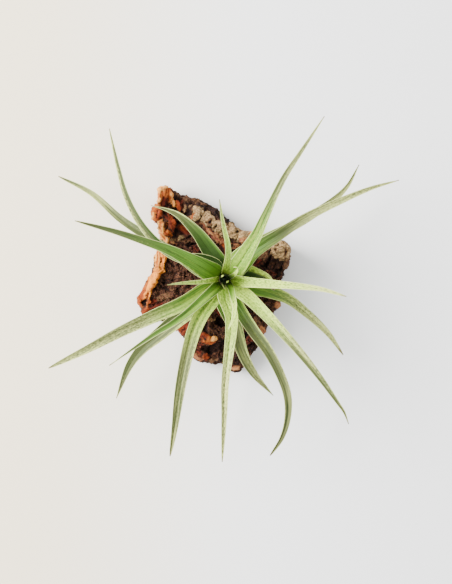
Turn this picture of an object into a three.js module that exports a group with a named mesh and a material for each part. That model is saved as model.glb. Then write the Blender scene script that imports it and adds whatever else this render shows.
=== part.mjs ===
// Air plant on a piece of bark: a rosette of channelled, tapering leaves on a short stem,
// which sits in a shallow seat on top of a rough chunk of bark. Millimetres, +Z up.
// The origin is on the surface that the bark lies on, straight below the stem's axis.
import * as THREE from "three";

// Driving dimensions of the stem
const SEAT_HEIGHT = 20; // top of the bark where the stem sits
const SEAT_RADIUS = 6;
const STEM_GAP = 0.3; // clearance between a piece and what carries it
const STEM_FOOT_RADIUS = 4.8;
const STEM_FOOT_HEIGHT = 1.2;
const STEM_SHOULDER_RADIUS = 3.8;
const STEM_RADIUS = 2.6;
const STEM_TIP_RADIUS = 0.9;
const STEM_TIP_LENGTH = 9; // the stem narrows over this length below its top
const STEM_SIDES = 24;

// Driving dimensions of the leaves
const LOWEST_LEAF = 24.4; // height at which the outermost leaf leaves the stem
const SEAT_PITCH = 1.2; // rise from a leaf to the next one that lies over it
const CLASP_ANGLE = 95; // leaves closer than this round the stem lie one over the other
const LEAF_THICKNESS = 0.7; // over the midrib
const MARGIN_THICKNESS = 0.6;
const TIP_WIDTH = 0.7;
const TAPER = 0.5; // a blade narrows as this power of what is left of its length
const SHEATH_LENGTH = 0.28; // share of a leaf that its clasping base takes
const ROOT_WIDTH = 0.62; // width where a leaf meets the stem, as a share of its sheath's
const ROOT_LENGTH = 0.07;
const FOLD_ANGLE = 27; // each half of a blade rises from its midrib by this many degrees
const FOLD_ROUNDING = 1.25; // above 1 the fold is rounder along the midrib
const FOLD_FROM = 5; // the fold sets in at this distance from the stem's axis
const FOLD_FULL = 20; // and is full at this one
const CLASP_TO = 16; // out to here a leaf's section still curves round the stem
const LEAN_FROM = 0.1; // share of its length from which a leaf is turned about its midrib
const LEAN_FULL = 0.5;
const RING_SPACING = 3.6; // between the sections along a leaf
const FEWEST_RINGS = 9;
const MOST_RINGS = 20;
const ACROSS = [-1, -0.5, 0, 0.5, 1]; // places across a section, from margin to margin

// Driving dimensions of the bark
const BARK_TOP = 14; // general height of its top
const BARK_FOOT = 0.72; // share of its spread that lies flat on the ground
const BARK_SECTORS = 120;
const BARK_ROUGHNESS = 1.2;
const RIM_FROM = 0.72; // share of the spread from which the top runs over to the rim
const SEAT_BLEND = 6; // width of the slope around the stem's seat
const KNUCKLE_PITCH = 6.2; // length of each knuckle of the corky ridge
const KNUCKLE_GROOVE = 1.5; // depth of the grooves between them
const FLUTE_DEPTH = 0.02; // of the upright flutes in the broken side, as a share of the spread
const FLUTE_WAVES = [[0.4, 0], [0.23, 1]]; // each one's pitch in degrees and its start

// Rings of the bark's top, as shares of its spread. Those of its side are given with their
// heights as shares of the rim's.
const TOP_RINGS = [0.09, 0.18, 0.27, 0.36, 0.45, 0.54, 0.62, 0.7, 0.77, 0.84, 0.9, 0.95, 1];
const SIDE_RINGS = [[1.015, 0.72], [1, 0.42], [0.95, 0.16], [0.86, 0.04]];

// Crossed waves that the bark's rise and fall is made of: the pitch of each in x and in y,
// and its start
const BROAD_WAVES = [[0.47, 0.21, 1.3], [-0.17, 0.39, 0.4]];
const FINE_WAVES = [[0.97, -0.63, 0], [0.51, 1.03, 2.1]];

// The leaves from the outermost and lowest to the innermost and highest. Angles are in
// degrees, anticlockwise from +X seen from above, and lengths in millimetres.
// at: the side of the stem that the leaf grows from.
// line: places along its midrib, each as distance from the stem's axis, bearing and height.
// blade: width that the long taper starts from; sheath: extra width of the clasping base.
// lean: how far the blade is turned about its midrib, none where it isn't given.
// taper: power of the taper where it isn't TAPER.
const LEAVES = [
  {
    name: "outer_leaf_1", at: 106, blade: 9.9, sheath: 0, lean: 14, taper: 1.05,
    line: [
      [8, 111, 27], [16, 118.5, 28], [25.5, 122, 30], [35, 126.3, 31.5], [40, 130.2, 32.3],
      [46, 135.2, 33],
    ],
  },
  {
    name: "outer_leaf_2", at: 338, blade: 5.4, sheath: 3,
    line: [
      [7, 339.5, 26.5], [14, 344, 28], [28, 343, 28.5], [39, 337.5, 27], [51.5, 332.5, 21],
      [63.5, 327.5, 14],
    ],
  },
  {
    name: "outer_leaf_3", at: 256, blade: 8.2, sheath: 0, taper: 0.75,
    line: [
      [8.5, 260.5, 27], [14.5, 274, 28], [21, 281, 28.5], [33, 283, 26.5], [43, 286.5, 22.5],
      [57, 292.5, 12],
    ],
  },
  {
    name: "outer_leaf_4", at: 222, blade: 9.2, sheath: 0, taper: 0.72,
    line: [
      [7, 226, 27.5], [13, 225, 29], [23, 220.5, 30], [38.5, 220, 29], [47.5, 220, 27],
      [57, 222, 23], [73, 227.5, 14],
    ],
  },
  {
    name: "outer_leaf_5", at: 168, blade: 4.8, sheath: 0, taper: 0.45,
    line: [
      [7, 168, 29], [11.5, 164, 30], [21.5, 154.5, 30.5], [41.5, 151.2, 29.5], [54, 149.9, 26],
      [71, 147.2, 21], [88.9, 148.2, 15],
    ],
  },
  {
    name: "outer_leaf_6", at: 64, blade: 6.4, sheath: 0.8, taper: 0.65,
    line: [
      [6.5, 65, 29], [11, 61, 30], [19, 49.6, 31], [35, 39.3, 31], [46.5, 36.8, 29.5],
      [59, 36.3, 27], [68, 37.3, 25], [79, 40.6, 22],
    ],
  },
  {
    name: "outer_leaf_7", at: 118, blade: 4, sheath: 3.2,
    line: [
      [8, 127, 31], [13.5, 141, 33], [21, 152.5, 34.5], [28, 153.5, 35], [35, 151, 36],
      [45.5, 145.7, 36], [56.5, 139.7, 35], [67, 134.1, 32], [84.2, 127.5, 28],
    ],
  },
  {
    name: "outer_leaf_8", at: 26, blade: 7.2, sheath: 0, taper: 0.45,
    line: [[7.5, 24, 31], [11.5, 17.5, 33], [14.5, 9, 34], [18.3, 1.5, 34], [22.3, 347.5, 33]],
  },
  {
    name: "middle_leaf_1", at: 292, blade: 5.1, sheath: 1.5, taper: 0.4,
    line: [
      [7.5, 291, 32], [13, 294, 35], [25, 298.3, 39.5], [36, 300.7, 41.5], [46.5, 300.1, 41],
      [57, 298.1, 39.5], [66, 294.3, 36], [73.5, 289.9, 32.5], [80.5, 284.3, 28.5],
    ],
  },
  {
    name: "middle_leaf_2", at: 246, blade: 6.9, sheath: 1,
    line: [
      [6, 241, 33], [10.5, 237, 36], [20, 236.5, 40], [30, 240.6, 43], [48, 246.8, 44],
      [70.5, 251.6, 39], [81, 252.7, 36],
    ],
  },
  {
    name: "middle_leaf_3", at: 38, blade: 5.5, sheath: 2.8, taper: 0.6,
    line: [
      [6.5, 38.5, 34], [12.5, 42.5, 37.5], [17.5, 44, 40], [31, 39.2, 43.5], [43, 37.3, 45.5],
      [60, 34, 47], [74, 31.8, 46], [86, 29.6, 45],
    ],
  },
  {
    name: "middle_leaf_4", at: 204, blade: 7.1, sheath: 0.2,
    line: [
      [9.5, 207, 39], [19, 210, 45], [25, 209.4, 48], [32, 208, 50.5], [48.5, 206.9, 55],
      [65, 207.1, 58], [83, 206.9, 59],
    ],
  },
  {
    name: "middle_leaf_5", at: 266, blade: 4.7, sheath: 2.8,
    line: [
      [8.5, 271, 39], [12.5, 277, 42], [17, 279, 44.5], [23.5, 276, 47.5], [31, 273, 50],
      [44, 270, 53], [58, 269.6, 55], [77.5, 269.1, 54],
    ],
  },
  {
    name: "middle_leaf_6", at: 322, blade: 5.5, sheath: 1.2, taper: 0.62,
    line: [
      [7.5, 321, 39], [13, 321.8, 43.5], [23.5, 319, 49.5], [34.5, 316.9, 53.5],
      [46.5, 315.3, 56.5], [59, 313.7, 58], [70.5, 312.3, 57.5], [75, 311.8, 57],
      [80.5, 310.4, 55],
    ],
  },
  {
    name: "middle_leaf_7", at: 152, blade: 4.6, sheath: 5.8,
    line: [
      [9, 153.5, 40.5], [15, 152.5, 45], [27, 152.8, 51], [37, 154.9, 54.5], [49, 156.6, 57],
      [67.5, 158.9, 59],
    ],
  },
  {
    name: "middle_leaf_8", at: 40, blade: 4.2, sheath: 4.8, taper: 0.58,
    line: [
      [8, 45, 41], [16.5, 51.5, 47.5], [24, 54, 52], [32, 57, 55.5], [48.5, 59.5, 60],
      [61, 59, 62], [79, 58.5, 64],
    ],
  },
  {
    name: "inner_leaf_1", at: 350, blade: 4.2, sheath: 1.2,
    line: [
      [6, 350, 42], [11.5, 352, 48], [21.5, 353.5, 55], [31.5, 354, 61], [41, 353.5, 65.5],
      [50.5, 351.5, 69],
    ],
  },
  {
    name: "inner_leaf_2", at: 225, blade: 4.4, sheath: 1.2, taper: 0.8,
    line: [
      [5.5, 224, 43], [11.5, 223, 49], [21.5, 222.3, 56], [30, 220.4, 61], [36, 218.6, 64],
      [47.5, 217.5, 68], [59.4, 217, 71],
    ],
  },
  {
    name: "inner_leaf_3", at: 176, blade: 2.3, sheath: 0.6,
    line: [[5, 185, 48.5], [10.5, 187.5, 58], [18, 186, 68], [23.5, 186.5, 75]],
  },
  {
    name: "inner_leaf_4", at: 84, blade: 3, sheath: 1.2,
    line: [[4.5, 83, 50], [10, 82, 61], [15, 86, 68], [23, 92, 76.5], [31.5, 94, 84]],
  },
  {
    name: "inner_leaf_5", at: 308, blade: 3.3, sheath: 0,
    line: [[5, 302, 48], [8.5, 293.5, 54], [13, 289, 59], [17.5, 281, 61], [21.5, 273.5, 59]],
  },
  {
    name: "inner_leaf_6", at: 20, blade: 2.2, sheath: 0,
    line: [[3.6, 22, 49], [5.3, 28, 54.5], [6.7, 36, 58], [6.8, 45, 59.5], [6, 53, 59]],
  },
  {
    name: "inner_leaf_7", at: 250, blade: 2, sheath: 0,
    line: [[2.7, 256, 47], [3.3, 263, 51], [4.2, 268, 55]],
  },
  {
    name: "heart_leaf_1", at: 136, blade: 1.8, sheath: 0,
    line: [[1.8, 134, 48], [1.4, 122, 56]],
  },
  {
    name: "heart_leaf_2", at: 312, blade: 1.8, sheath: 0,
    line: [[1.8, 312, 49], [1.4, 308, 58]],
  },
];

// The edge of the bark seen from above: bearing, distance from the stem's axis, and height
// of the broken rim there.
const BARK_EDGE = [
  [6, 25.8, 12], [16, 29, 15], [23, 31.6, 16], [29, 33.5, 16], [36, 29.6, 15], [49, 26, 13],
  [62, 24.5, 12], [72, 22.9, 12], [82, 24.3, 11], [90, 28.7, 10], [98.5, 33.5, 10],
  [106, 36.7, 10], [115, 41.1, 10], [119.5, 45.6, 13], [121, 48.2, 17], [126.5, 50.7, 18],
  [128.5, 48.2, 18], [131.5, 44.8, 17], [136.5, 46.6, 14], [139.5, 43.3, 14], [142, 36.8, 16],
  [149, 33.3, 16], [157, 33, 15], [165, 33.2, 14], [175, 33.6, 14], [180, 35.3, 14],
  [186, 36.6, 14], [193, 40.4, 13], [201.5, 40, 12], [212, 35, 12], [226.5, 30.2, 12],
  [231, 30.8, 11], [241, 34, 10], [248, 39.5, 9], [259.5, 38.5, 8], [269, 37.7, 8],
  [275.5, 42.5, 8], [280, 43, 8], [282, 40.5, 9], [288, 36.5, 11], [297, 33.2, 12],
  [307, 29.5, 13], [315, 27.7, 13], [328, 26.8, 13], [338, 26.6, 13], [349, 26, 12],
  [359, 25.2, 12],
];

// What stands up from the bark's top or is broken out of it: the middle in x and y, the
// half length and half width, the turn of its length from +X, and how far it is lifted.
const BARK_RELIEF = [
  { at: [0.5, 23], half: [20, 4.5], turn: -30, lift: 6.5, knuckled: true }, // corky ridge
  { at: [-14, 31], half: [4, 4], turn: 0, lift: 2 }, // knuckle at its end
  { at: [-27, 28], half: [4, 13], turn: 12, lift: 4 }, // torn column
  { at: [23, 13.5], half: [7, 6], turn: 0, lift: 3 }, // right lump
  { at: [20, 4], half: [5, 5], turn: 20, lift: -4 }, // right hollow
  { at: [-33, -3], half: [2.5, 12], turn: -20, lift: 1.5 }, // left rim
  { at: [-3, -18], half: [3.5, 3.5], turn: 0, lift: -4 }, // front hollow
  { at: [-8, -26], half: [4.5, 2.2], turn: -8, lift: 2.5 }, // smooth chip
  { at: [-6, -31.5], half: [8, 2.6], turn: -5, lift: -3 }, // front terrace
];

const degrees = Math.PI / 180;
const UP = new THREE.Vector3(0, 0, 1);
const { lerp } = THREE.MathUtils;

// Level unit vector at a bearing.
function towards(bearing) {
  return new THREE.Vector3(Math.cos(bearing * degrees), Math.sin(bearing * degrees), 0);
}

// 0 below low, 1 above high, and a smooth rise between them.
function rise(low, high, x) {
  return THREE.MathUtils.smoothstep(x, low, high);
}

// Angle between two bearings.
function apart(one, other) {
  return Math.abs(((one - other + 540) % 360) - 180);
}

// Each leaf sits on the stem as low as the leaves that it lies over allow.
function seatLeaves(leaves) {
  const seated = [];
  for (const leaf of leaves) {
    const under = seated.filter((other) => apart(leaf.at, other.at) < CLASP_ANGLE);
    const seat = Math.max(LOWEST_LEAF, ...under.map((other) => other.seat + SEAT_PITCH));
    seated.push({ lean: 0, taper: TAPER, ...leaf, seat });
  }
  return seated;
}

const seatedLeaves = seatLeaves(LEAVES);
const STEM_TOP = Math.max(...seatedLeaves.map((leaf) => leaf.seat)) + 1.5;

function stemRadius(height) {
  return lerp(STEM_RADIUS, STEM_TIP_RADIUS, rise(STEM_TOP - STEM_TIP_LENGTH, STEM_TOP, height));
}

// The line of a leaf's midrib, from just clear of the stem out to the tip.
function midrib(leaf) {
  const [firstDistance, , firstHeight] = leaf.line[0];
  const surface = stemRadius(leaf.seat) + STEM_GAP;
  const steepness = Math.atan2(firstHeight - leaf.seat, firstDistance - surface);
  const start = surface + (LEAF_THICKNESS / 2) * Math.sin(steepness);
  const places = [[start, leaf.at, leaf.seat], ...leaf.line];
  const points = places.map(([distance, bearing, height]) =>
    towards(bearing).multiplyScalar(distance).setZ(height));
  return new THREE.CatmullRomCurve3(points, false, "centripetal");
}

// Width of a leaf at s, from 0 at the stem to 1 at the tip.
function leafWidth(leaf, s) {
  const blade = leaf.blade * (1 - s) ** leaf.taper;
  const sheath = leaf.sheath * Math.exp(-((s / SHEATH_LENGTH) ** 2));
  const root = lerp(ROOT_WIDTH, 1, rise(0, ROOT_LENGTH, s));
  return Math.max(TIP_WIDTH, (blade + sheath) * root);
}

// One section of a leaf: its upper side from margin to margin, then its lower side back.
// It curves round the stem near the base and is folded along the midrib further out.
function leafSection(centre, along, across, width) {
  const distance = Math.hypot(centre.x, centre.y);
  const outward = new THREE.Vector3(centre.x, centre.y, 0).normalize();
  const normal = along.clone().cross(across);
  const fold = Math.tan(FOLD_ANGLE * degrees) * rise(FOLD_FROM, FOLD_FULL, distance);
  const clasp = 1 - rise(CLASP_TO / 2, CLASP_TO, distance);
  const place = (u, lift) => {
    const wrap = (u * width) / 2 / distance;
    const raised = (fold * width * Math.abs(u) ** FOLD_ROUNDING) / 2 + lift;
    return centre.clone()
      .addScaledVector(across, distance * Math.sin(wrap))
      .addScaledVector(outward, distance * (Math.cos(wrap) - 1) * clasp)
      .addScaledVector(normal, raised);
  };
  const half = (u) => lerp(LEAF_THICKNESS, MARGIN_THICKNESS, Math.abs(u)) / 2;
  const upper = ACROSS.map((u) => place(u, half(u)));
  const lower = ACROSS.map((u) => place(u, -half(u))).reverse();
  return [...upper, ...lower];
}

function leafGeometry(leaf) {
  const curve = midrib(leaf);
  const fitting = Math.round(curve.getLength() / RING_SPACING);
  const rings = THREE.MathUtils.clamp(fitting, FEWEST_RINGS, MOST_RINGS);
  const sections = [];
  const side = UP.clone().cross(towards(leaf.at));
  for (let i = 0; i <= rings; i += 1) {
    const s = i / rings;
    const along = curve.getTangentAt(s);
    side.addScaledVector(along, -side.dot(along)).normalize();
    const lean = leaf.lean * rise(LEAN_FROM, LEAN_FULL, s) * degrees;
    const across = side.clone().applyAxisAngle(along, lean);
    sections.push(leafSection(curve.getPointAt(s), along, across, leafWidth(leaf, s)));
  }
  return loft(sections);
}

// A closed blade from its sections, each of them a strip's upper and then its lower side.
function loft(sections) {
  const around = sections[0].length;
  const faces = [];
  for (let i = 0; i < sections.length - 1; i += 1) {
    for (let j = 0; j < around; j += 1) {
      const a = i * around + j;
      const b = i * around + ((j + 1) % around);
      faces.push(a, a + around, b, b, a + around, b + around);
    }
  }
  const last = (sections.length - 1) * around;
  for (let j = 0; j < around / 2 - 1; j += 1) {
    const k = around - 1 - j;
    faces.push(j, j + 1, k, j + 1, k - 1, k);
    faces.push(last + j, last + k, last + j + 1, last + j + 1, last + k, last + k - 1);
  }
  return solid(sections.flat().flatMap((point) => point.toArray()), faces);
}

function solid(positions, faces) {
  const geometry = new THREE.BufferGeometry();
  geometry.setAttribute("position", new THREE.Float32BufferAttribute(positions, 3));
  geometry.setIndex(faces);
  geometry.computeVertexNormals();
  return geometry;
}

// The stem: a short woody stub, wider at its foot and pointed at its top.
function stemGeometry() {
  const foot = SEAT_HEIGHT + STEM_GAP;
  const profile = [
    [0, foot],
    [STEM_FOOT_RADIUS, foot],
    [STEM_FOOT_RADIUS, foot + STEM_FOOT_HEIGHT],
    [STEM_SHOULDER_RADIUS, foot + 2 * STEM_FOOT_HEIGHT],
  ];
  const steps = 8;
  for (let k = 0; k <= steps; k += 1) {
    const height = lerp(LOWEST_LEAF - 1, STEM_TOP, k / steps);
    profile.push([stemRadius(height), height]);
  }
  profile.push([0, STEM_TOP + STEM_TIP_RADIUS]);
  const points = profile.map(([radius, height]) => new THREE.Vector2(radius, height));
  return new THREE.LatheGeometry(points, STEM_SIDES).rotateX(Math.PI / 2);
}

// Two crossed waves at a place, between -1 and 1.
function crossed([one, other], x, y) {
  const wave = ([pitchX, pitchY, start]) => Math.sin(pitchX * x + pitchY * y + start);
  return wave(one) * wave(other);
}

// Small irregular rise and fall over the bark, between -1 and 1.
function roughness(x, y) {
  return (crossed(BROAD_WAVES, x, y) + crossed(FINE_WAVES, x, y)) / 2;
}

// Distance and height of the bark's rim at a bearing from 0 to 360.
function barkRim(bearing) {
  const [firstBearing, ...firstRim] = BARK_EDGE[0];
  const [lastBearing, ...lastRim] = BARK_EDGE.at(-1);
  const edge = [
    [lastBearing - 360, ...lastRim],
    ...BARK_EDGE,
    [firstBearing + 360, ...firstRim],
  ];
  const next = edge.findIndex(([at]) => at > bearing);
  const [a, b] = [edge[next - 1], edge[next]];
  const share = (bearing - a[0]) / (b[0] - a[0]);
  return { reach: lerp(a[1], b[1], share), height: lerp(a[2], b[2], share) };
}

// How far one feature of the bark's relief lifts its top at a place.
function reliefAt({ at, half, turn, lift, knuckled }, x, y) {
  const along = (x - at[0]) * Math.cos(turn * degrees) + (y - at[1]) * Math.sin(turn * degrees);
  const beside = (y - at[1]) * Math.cos(turn * degrees) - (x - at[0]) * Math.sin(turn * degrees);
  const inside = Math.exp(-(((along / half[0]) ** 2 + (beside / half[1]) ** 2) ** 2));
  const groove = (0.5 + 0.5 * Math.cos((2 * Math.PI * along) / KNUCKLE_PITCH)) ** 4;
  return inside * (lift - (knuckled ? KNUCKLE_GROOVE * groove : 0));
}

// Height of the bark's top at a place; share is 0 at the stem's axis and 1 at the rim.
function barkTop(x, y, share, rimHeight) {
  let height = lerp(BARK_TOP, rimHeight, rise(RIM_FROM, 1, share));
  for (const feature of BARK_RELIEF) height += reliefAt(feature, x, y);
  height += BARK_ROUGHNESS * roughness(x, y);
  const away = rise(SEAT_RADIUS, SEAT_RADIUS + SEAT_BLEND, Math.hypot(x, y));
  return lerp(SEAT_HEIGHT, height, away);
}

// The bark's rings, each as its share of the spread and the height at a place on it.
function barkRings() {
  const brokenSide = (level) => (x, y, rimHeight) =>
    level * rimHeight * (1 + roughness(2 * x, 2 * y) / 4);
  return [
    ...TOP_RINGS.map((share) => [share, (x, y, rimHeight) => barkTop(x, y, share, rimHeight)]),
    ...SIDE_RINGS.map(([share, level]) => [share, brokenSide(level)]),
    [BARK_FOOT, () => 0],
  ];
}

// The bark: its top from the stem's seat out to the rim, its broken side, its flat foot.
function barkGeometry() {
  const positions = [0, 0, SEAT_HEIGHT];
  const rings = barkRings();
  for (const [share, heightAt] of rings) {
    for (let k = 0; k < BARK_SECTORS; k += 1) {
      const bearing = (360 * k) / BARK_SECTORS;
      const rim = barkRim(bearing);
      const [one, other] = FLUTE_WAVES.map(([pitch, start]) => Math.sin(pitch * bearing + start));
      const flutes = FLUTE_DEPTH * one * other * rise(RIM_FROM, 1, share);
      const distance = rim.reach * share * (1 + flutes);
      const { x, y } = towards(bearing).multiplyScalar(distance);
      positions.push(x, y, heightAt(x, y, rim.height));
    }
  }
  positions.push(0, 0, 0);
  return solid(positions, barkFaces(rings.length));
}

// The rings' faces, with a fan from the middle of the top and one to the middle of the foot.
function barkFaces(ringCount) {
  const faces = [];
  const bottom = ringCount * BARK_SECTORS + 1;
  for (let k = 0; k < BARK_SECTORS; k += 1) {
    const next = (k + 1) % BARK_SECTORS;
    faces.push(0, 1 + k, 1 + next);
    faces.push(bottom, bottom - BARK_SECTORS + next, bottom - BARK_SECTORS + k);
    for (let i = 0; i < ringCount - 1; i += 1) {
      const inner = 1 + i * BARK_SECTORS;
      const outer = inner + BARK_SECTORS;
      faces.push(inner + k, outer + k, inner + next, inner + next, outer + k, outer + next);
    }
  }
  return faces;
}

const plant = new THREE.Group();

function addPiece(name, geometry, color, roughness) {
  const material = new THREE.MeshStandardMaterial({ color, roughness, metalness: 0 });
  const mesh = new THREE.Mesh(geometry, material);
  mesh.name = name;
  plant.add(mesh);
}

addPiece("bark", barkGeometry(), 0x5a3b28, 0.95);
addPiece("stem", stemGeometry(), 0x6b6a45, 0.85);
for (const leaf of seatedLeaves) addPiece(leaf.name, leafGeometry(leaf), 0x9cae6b, 0.7);

export default plant;
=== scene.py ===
"""Air plant on a piece of bark, seen from straight above, for Blender 4.5.

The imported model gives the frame. Each of its leaves, the stem and the bark is replaced by a
finer piece of the same form. Lengths here are in millimetres, and M turns them into metres.
"""

import math
from dataclasses import dataclass

import bpy
import numpy as np
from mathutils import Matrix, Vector, noise


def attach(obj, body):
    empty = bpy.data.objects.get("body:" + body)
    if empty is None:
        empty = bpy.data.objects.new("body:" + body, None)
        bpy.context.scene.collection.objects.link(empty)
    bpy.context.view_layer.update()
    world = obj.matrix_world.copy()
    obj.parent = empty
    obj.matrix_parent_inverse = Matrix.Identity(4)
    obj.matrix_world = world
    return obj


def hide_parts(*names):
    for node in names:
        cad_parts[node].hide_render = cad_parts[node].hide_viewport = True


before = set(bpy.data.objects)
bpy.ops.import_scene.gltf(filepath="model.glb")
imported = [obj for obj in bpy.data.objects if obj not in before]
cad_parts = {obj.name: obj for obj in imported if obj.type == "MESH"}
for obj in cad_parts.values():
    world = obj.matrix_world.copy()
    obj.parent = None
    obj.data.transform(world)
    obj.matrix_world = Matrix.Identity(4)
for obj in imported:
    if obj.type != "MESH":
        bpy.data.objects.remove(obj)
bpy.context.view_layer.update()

M = 0.001  # metres in a millimetre
BODY = "root"

# Camera: where it stands, and the photograph's frame
PHOTO_WIDTH, PHOTO_HEIGHT = 452, 584
CAMERA_PLACE = (0.4, -5.6, 600.0)
FOCAL_PIXELS = 1290.7
SENSOR = 36.0  # spans the longer side of the picture
CAMERA_SEES = (0.01, 10)  # from here to here, in metres

# Surroundings: the window that lights the plant, in metres and watts, the fill and the floor
WINDOW_BEARING = 165
WINDOW_ELEVATION = 40
WINDOW_DISTANCE = 1.1
WINDOW_SIZE = 0.7
WINDOW_POWER = 56
WINDOW_TINT = (1.0, 0.99, 0.97)
FILL_TINT = (0.96, 0.98, 1.0, 1.0)
FILL_STRENGTH = 1.7
FLOOR_REACH = 2000
FLOOR_LIGHT_SPAN = (-110, 30)  # from left to right, from painted warm light to the floor's plain colour

# Form of the leaves, as in the solid model
LOWEST_LEAF = 24.4
SEAT_PITCH = 1.2
CLASP_ANGLE = 95
STEM_RADIUS = 2.6
STEM_TIP_RADIUS = 0.9
STEM_TIP_LENGTH = 9
STEM_RISE = 1.5  # above the highest leaf's seat
STEM_GAP = 0.3
SOLID_THICKNESS = 0.7
SHEATH_LENGTH = 0.28
ROOT_WIDTH = 0.62
ROOT_LENGTH = 0.07
FOLD_ANGLE = 27
FOLD_ROUNDING = 1.25
FOLD_FROM = 5
FOLD_FULL = 20
CLASP_TO = 16
LEAN_SPAN = (0.1, 0.5)  # shares of the length between which a leaf leans over

# Finer form of the leaves. Stations and spans along a leaf are shares of its length.
RING_PITCH = 0.8  # between the sections along a leaf
LEAST_RINGS = 12
HALF_STEPS = 11  # from the midrib to a margin
BLADE_THICKNESS = 0.66  # over the midrib
MARGIN_THICKNESS = 0.2
MARGIN_THINNING = 1.5  # the thickness goes down as this power of the way to the margin
TIP_THINNING = 0.4  # share of the thickness that is left at the tip
TIP_THINNING_SPAN = (0.6, 1)
TIP_WIDTH = 0.4
MARGIN_REACH = 0.25  # the thin margins make a blade this much wider along its middle
REACH_STARTS = (0.2, 0.4)
REACH_ENDS = (0.6, 0.95)
GROOVE_DEPTH = 0.035  # of the groove along the midrib, as a share of the width
GROOVE_WIDTH = 0.13  # as a share of the half width
MARGIN_WAVE = 0.16  # rise and fall of the margins of a blade that is WAVE_WIDTH wide
WAVE_WIDTH = 6
WAVE_PITCH = 7
WAVE_STARTS = (0.15, 0.4)
WAVE_SEED_STEP = 3.7  # between the random lines of one leaf and the next
BLOOM_STATIONS = (0.25, 0.48, 0.72)  # where a leaf's bloom is given
SIDES_SHARPNESS = 3  # of the change from its left half to its right half
RIM_STATIONS = (0.58, 0.74)  # where its rim is given
RIM_SPAN = (0.5, 0.9)  # across a half, from the midrib to the margin, up to the full rim

# Form of the stem, as in the solid model
SEAT_HEIGHT = 20
STEM_FOOT_RADIUS = 4.8
STEM_FOOT_HEIGHT = 1.2
STEM_SHOULDER_RADIUS = 3.8

# Finer form of the stem
STEM_SECTIONS = 90
STEM_SIDES = 96
POLE_RADIUS = 0.01  # of the small flats that close it
SCAR_DEPTH = 0.22  # of the rings that old leaves left
SCAR_SHARPNESS = 3
STEM_FIBRE = 0.3  # rise and fall of its fibres
STEM_GRAIN = (1.5, 1.5, 0.4)  # fibres in a millimetre, across and up
STEM_MOST_INWARD = 0.5  # as a share of its radius

# Finer form of the bark. The seeds set its kinds of noise apart.
VOXEL = 0.42  # size of the even faces that its surface is made of
SMOOTHING = 5  # rounds that take the flat faces of the solid out
BARK_HEIGHT = 15  # general height of its top
FOOT_HEIGHT = 2.5  # its relief fades out below this, down to the flat that it stands on
UNDER_SPAN = (0.3, 0.8)  # how far a face looks down where the patches fade out
SHAPE_SWELL = 0.45  # broad rise and fall
SWELL_PITCH = 6.5
CRACK_DEPTH = 1.1  # of the fine cracks
CRACK_WIDTH = 0.13
CRACK_PITCH = 4.2
CRACK_SEED = 7.7
CRUMB_HEIGHT = 0.7  # of the crumbs that its broken inside is made of
CRUMB_PITCH = 1.4
PIT_DEPTH = 1.1
PIT_PITCH = 2.4
PIT_SPAN = (0.15, 0.5)
PIT_SEED = 9.3
FIBRE_HEIGHT = 0.8  # of the torn fibres
FIBRE_PITCH = (7, 0.75, 3)  # length, width and depth of one
GRAIN_HEIGHT = 0.25
GRAIN_PITCH = 0.7
GRAIN_SEED = 2.2
PLAIN_TURN = 60  # of the fibres outside the patches
RAGGED = 0.7  # how far the edge of a patch wanders
RAGGED_PITCH = 1.8
RAGGED_SEEDS = (3.1, 17.4, 41.7)
PATCH_EDGE = (0.75, 1.15)  # a patch ends between these shares of its half size
WOODY = ("torn", "amber", "bright", "rust", "salmon", "red")  # kinds that show torn fibres
WOOD_CALM = 0.8  # share of the cracks, crumbs and pits that wood doesn't have
CORK_CALM = 0.6  # share of the crumbs and pits that cork doesn't have

# Look of the leaves. A span says where a change starts and ends, and then the two values that it
# leads between where these aren't 0 and 1. Distances are from the stem's axis.
HEART_SPAN = (3.5, 13)  # from the heart's green to fresh green
HEART_SHADE_SPAN = (2.2, 7.4)  # out of the painted shade in the heart
HEART_SHADE_INWARD = 0.8  # the painted shade ends this much sooner for each millimetre from a margin
DULL_FROM = 0.35  # share of its fresh distance at which a leaf starts to turn dull
OLIVE_SPAN = (20, 1, 0, 0.7)  # by distance from the tip
VEIN_PITCH = (0.4, 18)  # across the leaf and along it, as in the next three
LINE_PITCH = (1.0, 40)
STREAK_PITCH = (0.4, 1.4)
BROAD_PITCH = (3, 10)
GROWN_DETAIL = 2
GROWN_ROUGHNESS = 0.6
STREAK_DETAIL = 3
STREAK_ROUGHNESS = 0.7
VEIN_SPAN = (0.48, 0.62, 0, 0.6)
STREAK_SPAN = (0.35, 0.65, 0.2, 1.8)
LINE_SPAN = (0.38, 0.62, -0.22, 0.22)
BROAD_SPAN = (0.3, 0.7, -0.06, 0.06)
UNDER_BLOOM = 0.3  # how much more of the scales the underside has
BARE_SPAN = (5, 12, 0.3, 1)  # fewer scales near the heart
PALE_SPAN = (14, 46)  # from yellow scales to pale ones
MARGIN_SPAN = (0.02, 0.2, 0.75, 0)  # by distance from the margin
MARGIN_RAGGED = 0.1
MARGIN_STARTS = (3, 10, 0.2, 1)
DRY_SPAN = (-2, 1.5, 0, 0.8)  # by distance into the dried tip
STREAK_BUMP = 0.4  # height of the streaks beside that of the veins

# Look of the stem
STEM_LOOK_GRAIN = (1.6, 1.6, 0.5)
STEM_TONES = (0.35, 0.65)
STEM_SHADE_OVER = 6  # painted shade on the stem among the leaves, over this height from its lowest leaf up
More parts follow.
